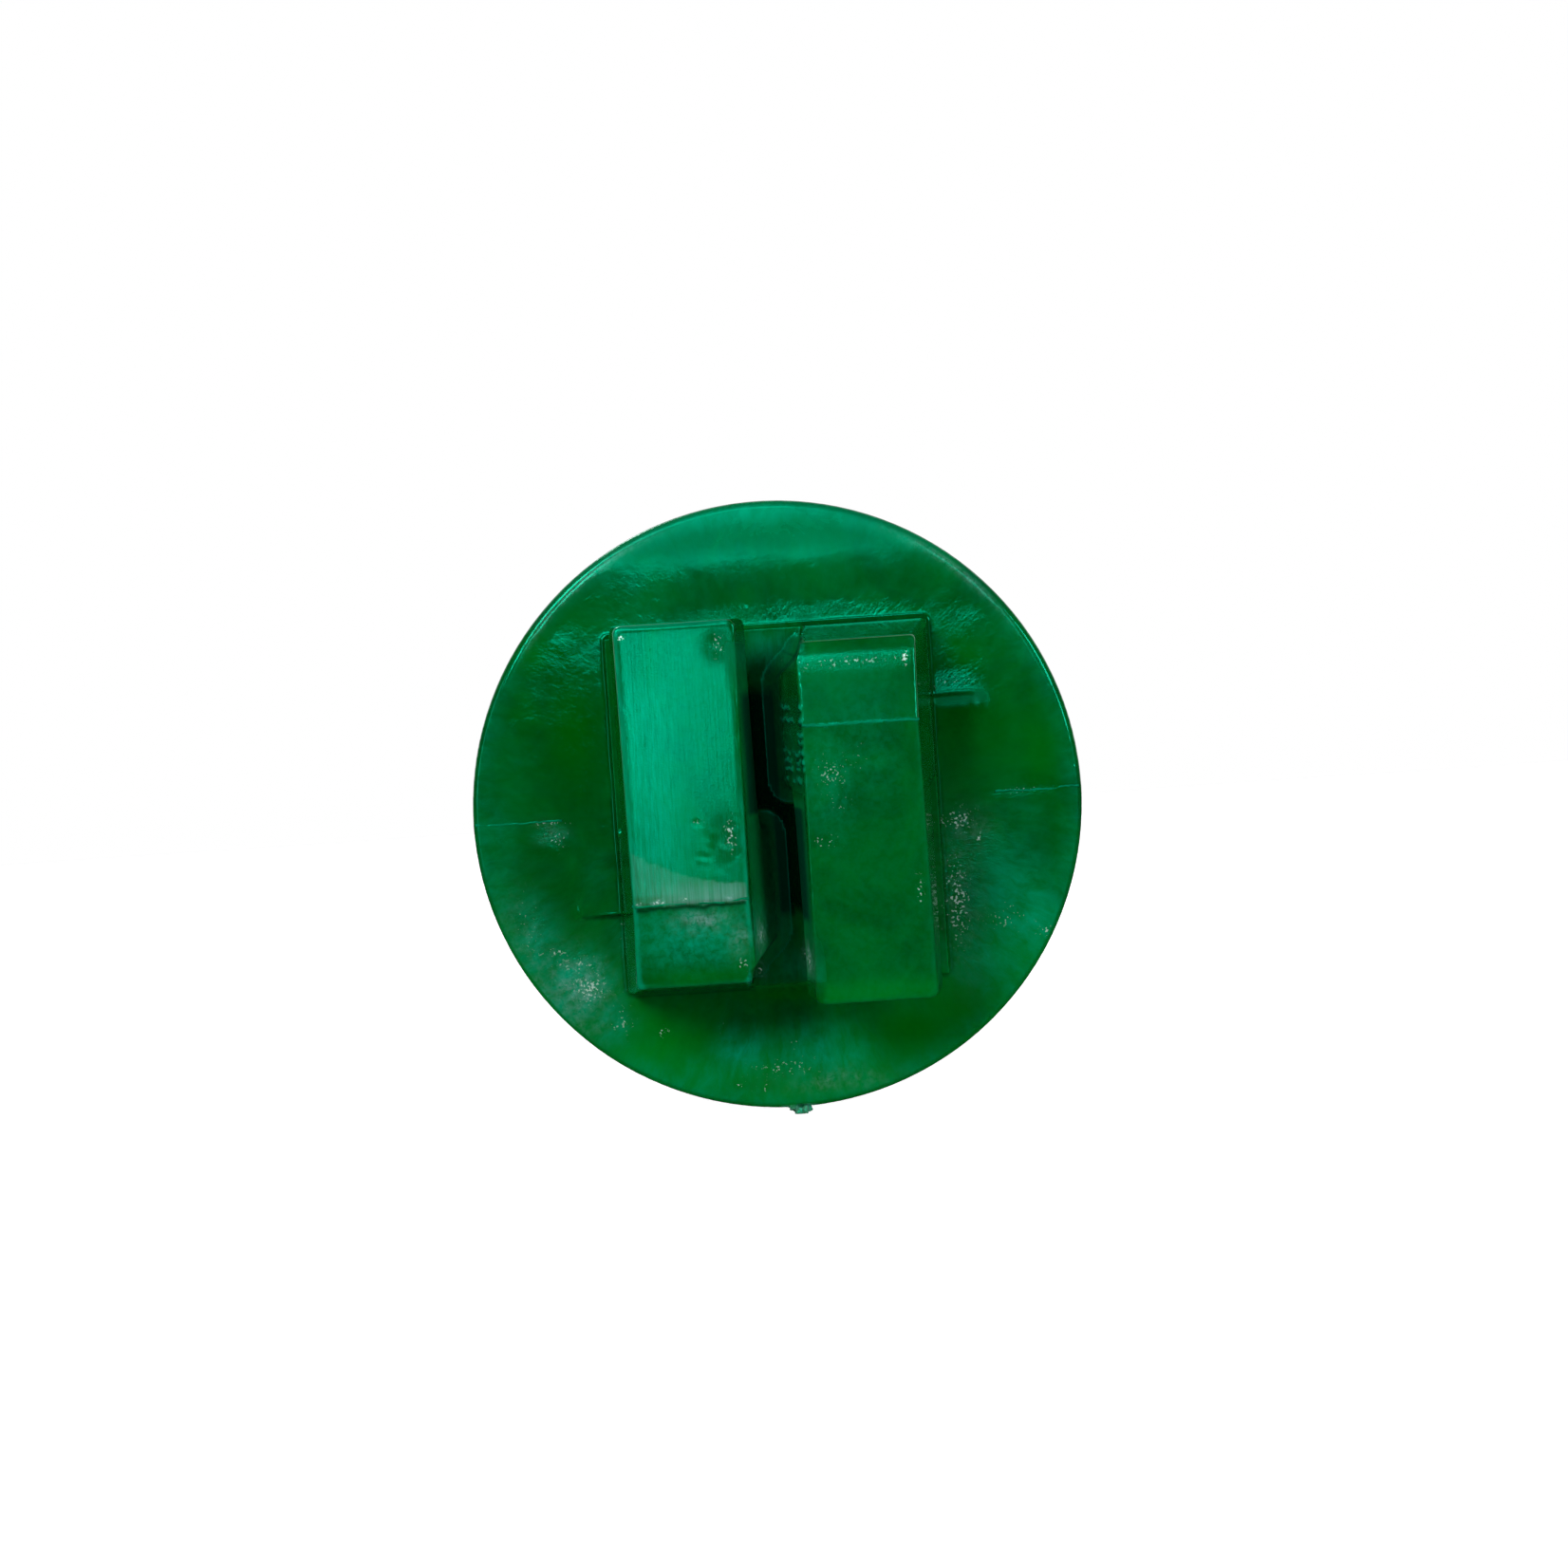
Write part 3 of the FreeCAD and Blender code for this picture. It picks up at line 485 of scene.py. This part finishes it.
def shades(points, normals, edges, v):
    # surface marks kept as attributes for the material: pale places, partly painted sheen and light, painted
    # glints, painted edge highlights, painted shade in corners and the slot, roughness
    x, y, z = points.T
    zones = v["zones"]
    radii = v["radii"]
    radius = np.hypot(x, z)
    facing = ease(-normals[:, 1], *v["turnedFront"])
    bend = ((nearMean(points, edges) - points) * normals).sum(1) / v["voxel"]
    for _ in range(v["bendRounds"]):
        bend = nearMean(bend, edges)
    onFaces = onFace(points, normals, v)
    face = faceMarks(points, facing, v)
    slot = slotMarks(points, normals, v)
    seen = np.maximum(facing, 0.8 * slot["inside"])
    nib = zone(points, zones["nib"])
    # painted shade: these places are darkened where the fingers shade the disc
    glossAndShade = patch(x, z, v["glossyAndShaded"]) * zone(points, zones["glossyAndShaded"])
    clear = patch(x, z, v["clear"]) * zone(points, zones["front"])
    # painted sheen on the left finger's face, strongest towards its left side
    paintedFaceSheen = zone(points, zones["faceSheen"]) * seen * (0.2 + 0.5 * zone(points, zones["faceSheenSide"]))
    # partly painted sheen and painted light: teal patches, a lighter outer ring and the lit ridges of the
    # slot wall
    milkyAndSheen = np.maximum(patch(x, z, v["milkyAndSheen"]), 0.3 * ease(radius, *radii["milkyAndSheen"])) * seen
    milkyAndSheen = np.maximum.reduce([milkyAndSheen, paintedFaceSheen, 0.5 * ease(normals[:, 1], *v["turnedBack"])])  # painted sheen on the left face, and evenly over the plain back
    milkyAndSheen = np.maximum(milkyAndSheen * (1 - 0.85 * clear), 0.09 * (1 - np.maximum(glossAndShade, clear)))
    # painted light: the disc's lower ring, the right finger's lower end and the left root's lower part are
    # lightened
    thin = [ease(radius, *radii["thin"]) * zone(points, zones["litFromBelowRing"]), zone(points, zones["litFromBelowEnd"]),
            patch(x, z, v["litFromBelowPlaces"]) * zone(points, zones["face"])]
    # partly painted grey reflection, broken into blotches
    filmAndReflection = patch(x, z, v["filmAndReflection"]) * (0.8 + 0.4 * ripple(points, 1.0, 41)) * np.maximum(facing, slot["inside"])
    # painted highlight along the upper part of the disc's outer edge
    rimHighlight = bell(radius - v["rimHighlightRadius"], v["rimHighlightWidth"]) * patch(x, z, v["rimHighlight"])
    fromArc = np.hypot(x - v["arcMiddle"][0], z - v["arcMiddle"][1])
    arcs = sum(bell(fromArc - r, 0.13) for r in v["arcRadii"]) * patch(x, z, v["arcs"]) * facing
    sharp = (1 - zone(points, zones["slotOpening"])) * (1 - 0.8 * zone(points, zones["shutoff"]))
    # painted highlights on convex edges, strongest on the left half and on the fingers
    edgeHighlight = ease(-bend, 0.012, 0.06) * sharp * np.where(x < 0, 1.0, 0.35) * np.where(y < -10, 1, 0.25)
    # painted shade in concave corners
    hollowShade = 0.75 * ease(bend, 0.006, 0.05) * sharp
    glossy = np.maximum.reduce([glossAndShade, 0.9 * clear, slot["deep"] * slot["flat"]]).clip(0, 1)
    return {
        "rough": roughness(points, glossy, onFaces, slot["matt"], v),
        "face": onFaces,
        # painted shade also darkens the flat floor deep in the slot
        "glossAndShade": np.maximum(glossAndShade, 1.6 * slot["deep"] * slot["flat"]),
        "thin": np.maximum.reduce(thin),
        "clear": clear * (1 - slot["deep"]),
        "milkyAndSheen": np.maximum.reduce([milkyAndSheen, slot["ridges"], face["streak"], nib, face["ridge"]]),
        "filmAndReflection": np.maximum.reduce([filmAndReflection, 0.9 * face["lip"], rimHighlight * zone(points, zones["rimHighlight"]),
                                   0.8 * nib]),
        # painted light: the disc's outer ring is lighter, most of all along the top
        "rim": ease(radius, *radii["rim"]) * (0.3 + 0.7 * zone(points, zones["rimTop"])),
        # painted highlights on edges and on the lit wrinkle ridges of the slot wall
        "edge": np.maximum(edgeHighlight, slot["folds"]),
        # painted shade in hollows, under the parting step, along the slot's creases and in the wrinkle
        # valleys; also a dark hairline on the left face
        "corner": np.maximum.reduce([hollowShade, face["seam"], slot["creaseShade"], 0.6 * face["hair"],
                                     slot["valleyShade"]]),
        # painted shade deep in the slot
        "deep": slot["deep"],
        "greyReflection": face["greyReflection"],
        "glint": np.maximum.reduce([patch(x, z, v["glint"]) * seen, arcs, 0.8 * face["lip"]]),
    }


def flowPlaces(points, v):
    # place round the middle and, shortened, along the radius; in front of the disc it is the place itself,
    # and it is pulled upright on the scratched part of the left face
    x, y, z = points.T
    radius = np.hypot(x, z).clip(v["flowHub"])
    flow = np.stack([v["flowRing"] * x / radius, v["flowRing"] * z / radius, v["flowAlong"] * radius], 1)
    flow = np.where(y[:, None] < v["raisedFrom"], points, flow)
    left, forward, seam = v["scratched"]
    scratched = (x < left) & (y < forward) & (z > seam)
    return np.where(scratched[:, None], points * v["scratchedStretch"], flow)


def thinOut(body, points, v):  # fewer triangles where the grid carries no fine relief
    x, y, z = points.T
    half, forward = v["fineSlot"]
    fine = (y < v["fineFace"]) | ((np.abs(x) < half) & (y < forward))
    plain = body.vertex_groups.new(name="plain")
    plain.add(np.flatnonzero(~fine).tolist(), 1.0, "REPLACE")
    thin = body.modifiers.new("thin", "DECIMATE")
    thin.vertex_group = "plain"
    thin.ratio = min(1.0, v["trianglesKept"] / (2 * len(body.data.polygons)))
    depsgraph = bpy.context.evaluated_depsgraph_get()
    made = bpy.data.meshes.new_from_object(body.evaluated_get(depsgraph))
    body.modifiers.clear()
    body.vertex_groups.clear()
    old = body.data
    body.data = made
    bpy.data.meshes.remove(old)
    body.data.name = "mouldedBody"


def makeBody(v):
    body = evenMesh(frame["nodes"]["insulator_body"], v)
    points, normals, edges = readMesh(body.data)
    writePoints(body.data, roundSlot(points, edges, v))
    points, normals, edges = readMesh(body.data)
    move, grainy = relief(points, normals, v)
    marks = shades(points, normals, edges, v)
    points += normals * move[:, None]
    low, high = (np.array(corner) / mm for corner in cadBox)
    points = np.clip(points, low, high)
    writePoints(body.data, points)
    setAttribute(body.data, "grainy", grainy)
    for name, values in marks.items():
        setAttribute(body.data, name, values)
    flow = body.data.attributes.new("flow", "FLOAT_VECTOR", "POINT")
    flow.data.foreach_set("vector", flowPlaces(points, v).astype(np.float32).ravel())
    body.data.update()
    thinOut(body, points, v)
    print("body:", sum(len(p.vertices) - 2 for p in body.data.polygons), "triangles")
    return body


# moulded polyethylene: waxy, slightly see-through green with a soft, greenish shine and small flow marks
polyethyleneValues = {
    "dark": "#004e05", "bright": "#006616",  # the two greens that the plastic drifts between
    "layers": [  # mark, its colour and share, laid over each other in this order
        # the first layer is darkened with painted shade, the second is painted light from below
        ("glossAndShade", "#003402", 0.45), ("thin", "#008a18", 0.42), ("clear", "#006a04", 0.8),
        # partly painted sheen, painted grey reflection, and painted light on the disc's outer ring
        ("milkyAndSheen", "#02a67b", 0.9), ("filmAndReflection", "#7fb0aa", 0.6), ("rim", "#02a67b", 0.3),
        # painted highlights on edges, then painted shade in corners and deep in the slot
        ("edge", "#02a67b", 0.5), ("corner", "#001a04", 0.8), ("deep", "#001a04", 0.95),
        # a painted grey reflection on the left face, then painted glints
        ("greyReflection", "#7fb0aa", 0.6), ("glint", "#d4f4e6", 0.95),
    ],
    "mottleSize": 6.0, "peelSize": 0.12, "speckSize": 0.16, "sparkSize": 0.2, "scratchWidth": 0.16,  # mm
    "scratchLength": 90,  # times the width
    "peelDepth": 0.009, "scratchDepth": 0.008, "speckDepth": 0.09,  # mm
    "streakScale": 1.8, "blotchScale": 2.6,  # per mm
    "ior": 1.51, "coatRough": 0.1, "shineTint": (0.0, 1.0, 0.6, 1.0),
    "underShare": 0.15, "underReach": 0.8, "underColour": (0.2, 1.0, 0.4),  # light spread under the skin, mm
}


def mouldedPolyethylene(v):
    material = bpy.data.materials.new("mouldedPolyethylene")
    material.use_nodes = True
    tree = material.node_tree
    tree.nodes.clear()
    place = addNode(tree, "TexCoord")
    inMm = addNode(tree, "Mapping", {"Vector": (place, "Object")}, Scale=(1 / mm, 1 / mm, 1 / mm))
    names = ["grainy", "face", "rough", "flow"] + [name for name, tone, share in v["layers"]]
    marks = {name: addNode(tree, "Attribute", attribute_name=name) for name in names}
    # the plastic drifts slowly between two greens
    mottle = addNode(tree, "TexNoise", {"Vector": (inMm, "Vector")}, Scale=1 / v["mottleSize"], Detail=6,
                     Roughness=0.6, Distortion=0.8)
    shown = addNode(tree, "ValToRGB", {"Fac": (mottle, "Fac")})
    for stop, position, tone in zip(shown.color_ramp.elements, (0.35, 0.65), (v["dark"], v["bright"])):
        stop.position = position
        stop.color = linearColour(tone)
    # streaks along the flow, blotches, upright scratches and sparks break up the marks
    streaks = addNode(tree, "TexNoise", {"Vector": (marks["flow"], "Vector")}, Scale=v["streakScale"],
                      Detail=5, Roughness=0.65, Distortion=0.4)
    blotches = addNode(tree, "TexNoise", {"Vector": (inMm, "Vector")}, Scale=v["blotchScale"],
                       Detail=5, Roughness=0.65, Distortion=0.5)
    width = v["scratchWidth"] * mm
    upright = addNode(tree, "Mapping", {"Vector": (place, "Object")},
                      Scale=(1 / width, 1 / mm, 1 / (width * v["scratchLength"])))
    scratches = addNode(tree, "TexNoise", {"Vector": (upright, "Vector")}, Scale=1, Detail=3)
    sparks = addNode(tree, "TexNoise", {"Vector": (inMm, "Vector")}, Scale=1 / v["sparkSize"], Detail=2)
    denser = addNode(tree, "Math", {0: (marks["glint"], "Fac"), 1: 0.25, 2: (sparks, "Fac")},
                     operation="MULTIPLY_ADD")
    cuts = {
        "milkyAndSheen": addNode(tree, "MapRange", {"Value": (streaks, "Fac")}, From_Min=0.36, From_Max=0.64,
                         To_Min=0.3, To_Max=1),
        "filmAndReflection": addNode(tree, "MapRange", {"Value": (blotches, "Fac")}, From_Min=0.36, From_Max=0.64),
        "greyReflection": addNode(tree, "MapRange", {"Value": (scratches, "Fac")}, From_Min=0.38, From_Max=0.62,
                         To_Min=0.5, To_Max=1),
        "glint": addNode(tree, "MapRange", {"Value": (denser, "Value")}, From_Min=0.70, From_Max=0.77),
    }
    for name, tone, share in v["layers"]:
        mark = (marks[name], "Fac")
        cut = (cuts[name], "Result") if name in cuts else mark
        amount = addNode(tree, "Math", {0: mark, 1: cut}, operation="MULTIPLY")
        scaled = addNode(tree, "Math", {0: (amount, "Value"), 1: share}, operation="MULTIPLY")
        shown = addNode(tree, "MixRGB", {"Fac": (scaled, "Value"), "Color1": (shown, "Color")},
                        Color2=linearColour(tone))
    # fine peel everywhere, scratches on the faces and specks in the grainy places
    peel = addNode(tree, "TexNoise", {"Vector": (inMm, "Vector")}, Scale=1 / v["peelSize"], Detail=3)
    specks = addNode(tree, "TexNoise", {"Vector": (marks["flow"], "Vector")}, Scale=1 / v["speckSize"],
                     Detail=3, Roughness=0.7)
    peelHere = addNode(tree, "MapRange", {"Value": (marks["face"], "Fac")}, To_Min=0.15, To_Max=0.6)
    peelBump = addNode(tree, "Bump", {"Height": (peel, "Fac"), "Strength": (peelHere, "Result")},
                       Distance=v["peelDepth"] * mm)
    scratchBump = addNode(tree, "Bump", {"Height": (scratches, "Fac"), "Strength": (marks["face"], "Fac"),
                                         "Normal": (peelBump, "Normal")}, Distance=v["scratchDepth"] * mm)
    speckBump = addNode(tree, "Bump", {"Height": (specks, "Fac"), "Strength": (marks["grainy"], "Fac"),
                                       "Normal": (scratchBump, "Normal")}, Distance=v["speckDepth"] * mm)
    coat = addNode(tree, "Math", {0: (marks["glint"], "Fac"), 1: (cuts["glint"], "Result")},
                   operation="MULTIPLY")
    uneven = addNode(tree, "MapRange", {"Value": (mottle, "Fac")}, To_Min=0.85, To_Max=1.15)
    dull = addNode(tree, "Math", {0: (marks["rough"], "Fac"), 1: (uneven, "Result")}, operation="MULTIPLY")
    shader = addNode(tree, "BsdfPrincipled", {"Base Color": (shown, "Color"), "Roughness": (dull, "Value"),
                                              "Normal": (speckBump, "Normal"), "Coat Weight": (coat, "Value"),
                                              "Coat Normal": (speckBump, "Normal")},
                     IOR=v["ior"], Coat_Roughness=v["coatRough"], Specular_Tint=v["shineTint"],
                     Subsurface_Weight=v["underShare"], Subsurface_Scale=v["underReach"] * mm,
                     Subsurface_Radius=v["underColour"])
    addNode(tree, "OutputMaterial", {"Surface": (shader, "BSDF")})
    return material


polyethylene = mouldedPolyethylene(polyethyleneValues)
body = makeBody(bodyValues)
finishPiece(body, polyethylene)
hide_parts("insulator_body")
print("body dressed")

flashValues = {  # thin flash squeezed out along the parting line
    "width": 0.2, "height": 0.13, "step": 0.08,  # mm
    "across": [-0.5, -0.3, 0.0, 0.3, 0.5], "out": [-0.4, 0.35, 1.0, 0.35, -0.4],  # profile, in shares
    "milkyAndSheen": 0.8, "rough": 0.2,
    "firstSeed": 20, "seedStep": 5,
    "runs": {  # name: (start, end) as x, y, z in mm
        "flashLeftFace": ((-10.75, -17.12, -6.02), (-2.30, -17.12, -6.02)),
        "flashRightFace": ((2.30, -17.16, 6.13), (10.75, -17.16, 6.13)),
        "flashLeftDisc": ((-22.3, -8.18, 0.0), (-15.9, -8.18, 0.0)),
        "flashRightDisc": ((16.1, -8.18, 0.0), (22.3, -8.18, 0.0)),
    },
}


def makeFlash(name, start, end, v, seed):
    # a five point ridge profile carried along a line, its height and place wandering with two sizes of wave
    start, end = np.array(start), np.array(end)
    length = np.linalg.norm(end - start)
    rows = int(length / v["step"])
    t = np.linspace(0, 1, rows)
    centre = start + t[:, None] * (end - start)
    wander = 0.035 * ripple(centre, 1.6, seed) + 0.015 * ripple(centre, 0.5, seed + 1)
    size = (0.55 + 0.3 * ripple(centre, 1.1, seed + 2)).clip(0.15, 1.1)
    size = size * ease(np.minimum(t, 1 - t) * length, 0, 0.3)
    across = np.array(v["across"]) * v["width"]
    out = np.array(v["out"]) * v["height"]
    points = np.empty((rows, len(across), 3))
    points[..., 0] = centre[:, None, 0]
    points[..., 1] = centre[:, None, 1] - size[:, None] * out
    points[..., 2] = centre[:, None, 2] + wander[:, None] + across
    points[..., 1] = np.maximum(points[..., 1], cadBox[0][1] / mm)
    index = np.arange(rows * len(across)).reshape(rows, -1)
    nextAcross = np.roll(index, -1, axis=1)
    quads = np.stack([index[:-1], index[1:], nextAcross[1:], nextAcross[:-1]], -1).reshape(-1, 4)
    faces = quads.tolist() + [index[0].tolist(), index[-1][::-1].tolist()]
    mesh = bpy.data.meshes.new(name)
    mesh.from_pydata((points.reshape(-1, 3) * mm).tolist(), [], faces)
    for mark in ("milkyAndSheen", "rough"):
        setAttribute(mesh, mark, np.full(len(mesh.vertices), v[mark]))
    piece = bpy.data.objects.new(name, mesh)
    bpy.context.scene.collection.objects.link(piece)
    return piece


for order, (name, (start, end)) in enumerate(flashValues["runs"].items()):
    seed = flashValues["firstSeed"] + flashValues["seedStep"] * order
    finishPiece(makeFlash(name, start, end, flashValues, seed), polyethylene)
print("flash laid")

roomValues = {
    "floorSize": 3.0, "floorHeight": cadBox[0][2] - 0.0002, "floorColour": "#f0f0f0",
    "nearGlow": 0.88, "farGlow": 1.0, "fadeFrom": 0.04, "fadeTo": 0.22,  # camera's white, by distance in m
    "backdropSize": 1.6, "backdropPlace": 0.35,  # m
    "worldColour": "#e8ecee", "worldStrength": 0.02,
}
# name: azimuth, elevation (degrees), distance, width, height (m), power (W), colour, and whether it
# lights surfaces or only shines in them
lamps = {
    "leftLamp": (-30.0, 30.0, 0.60, 0.20, 0.20, 1.85, "#ffffff", True),
    "rightLamp": (46.0, 16.0, 0.60, 0.20, 0.20, 1.4, "#fff8ff", True),
    "shineLamp": (-3.8, 6.6, 0.50, 0.08, 0.038, 0.13, "#ffffff", False),
    "softLamp": (5.5, 7.4, 0.50, 0.09, 0.05, 0.05, "#ffffff", False),
    "bandLamp": (-4.0, 26.0, 0.50, 0.16, 0.06, 0.42, "#ffffff", False),
    "glintLamp": (-24.0, 14.0, 0.50, 0.03, 0.03, 0.16, "#ffffff", False),
    "leftEdgeLamp": (-52.0, 6.0, 0.50, 0.08, 0.30, 0.3, "#ffffff", False),
    "rightEdgeLamp": (56.0, 6.0, 0.50, 0.06, 0.30, 0.12, "#ffffff", False),
    "backLamp": (205.0, 40.0, 0.60, 0.25, 0.25, 6.0, "#ffffff", True),
}


def makeLamp(name, azimuth, elevation, distance, width, height, power, colour, lights):
    a, e = math.radians(azimuth), math.radians(elevation)
    way = Vector((math.sin(a) * math.cos(e), -math.cos(a) * math.cos(e), math.sin(e)))
    data = bpy.data.lights.new(name, "AREA")
    data.shape = "RECTANGLE"
    data.size = width
    data.size_y = height
    data.energy = power
    data.color = linearColour(colour)[:3]
    lamp = bpy.data.objects.new(name, data)
    lamp.visible_diffuse = lights
    lamp.matrix_world = Matrix.Translation(way * distance) @ way.to_track_quat("Z", "Y").to_matrix().to_4x4()
    bpy.context.scene.collection.objects.link(lamp)


def makeSheet(name, corners, material):
    mesh = bpy.data.meshes.new(name)
    mesh.from_pydata(corners, [], [(0, 1, 2, 3)])
    mesh.materials.append(material)
    sheet = bpy.data.objects.new(name, mesh)
    bpy.context.scene.collection.objects.link(sheet)
    return sheet


def newTree(holder):  # the emptied node tree of a material or a world
    holder.use_nodes = True
    holder.node_tree.nodes.clear()
    return holder.node_tree


def paintedFloor(v):  # matt pale floor that takes the shadow and looks white to the camera further out
    material = bpy.data.materials.new("paintedFloor")
    tree = newTree(material)
    place = addNode(tree, "TexCoord")
    path = addNode(tree, "LightPath")
    away = addNode(tree, "VectorMath", {0: (place, "Object")}, operation="LENGTH")
    fade = addNode(tree, "MapRange", {"Value": (away, "Value")}, From_Min=v["fadeFrom"], From_Max=v["fadeTo"],
                   To_Min=v["nearGlow"], To_Max=v["farGlow"])
    white = addNode(tree, "Math", {0: (path, "Is Camera Ray"), 1: (fade, "Result")}, operation="MULTIPLY")
    matt = addNode(tree, "BsdfDiffuse", Color=linearColour(v["floorColour"]))
    glow = addNode(tree, "Emission", {"Strength": (white, "Value")})
    both = addNode(tree, "AddShader", {0: (matt, "BSDF"), 1: (glow, "Emission")})
    addNode(tree, "OutputMaterial", {"Surface": (both, "Shader")})
    return material


def whitePaper():  # seen as pure white by the camera and in reflections, and lights nothing
    material = bpy.data.materials.new("whitePaper")
    tree = newTree(material)
    path = addNode(tree, "LightPath")
    seen = addNode(tree, "Math", {0: (path, "Is Camera Ray"), 1: (path, "Is Glossy Ray")},
                   operation="MAXIMUM")
    seen = addNode(tree, "Math", {0: (seen, "Value"), 1: (path, "Is Transmission Ray")},
                   operation="MAXIMUM")
    glow = addNode(tree, "Emission", {"Strength": (seen, "Value")})
    addNode(tree, "OutputMaterial", {"Surface": (glow, "Emission")})
    return material


def makeRoom(v):
    half, height = v["floorSize"] / 2, v["floorHeight"]
    corners = [(-half, -half, height), (half, -half, height), (half, half, height), (-half, half, height)]
    floor = makeSheet("floor", corners, paintedFloor(v))
    floor.visible_glossy = False
    wide, deep = v["backdropSize"] / 2, v["backdropPlace"]
    top = height + wide
    corners = [(-wide, deep, height), (wide, deep, height), (wide, deep, top), (-wide, deep, top)]
    makeSheet("backdrop", corners, whitePaper())
    world = bpy.data.worlds.new("studio")
    bpy.context.scene.world = world
    tree = newTree(world)
    path = addNode(tree, "LightPath")
    seen = addNode(tree, "Background", Strength=1.0, Color=(1, 1, 1, 1))
    lit = addNode(tree, "Background", Strength=v["worldStrength"], Color=linearColour(v["worldColour"]))
    both = addNode(tree, "MixShader", {"Fac": (path, "Is Camera Ray"), 1: (lit, "Background"),
                                       2: (seen, "Background")})
    addNode(tree, "OutputWorld", {"Surface": (both, "Shader")})


for name, values in lamps.items():
    makeLamp(name, *values)
makeRoom(roomValues)
bpy.context.scene.view_settings.view_transform = "Standard"
print("room lit")
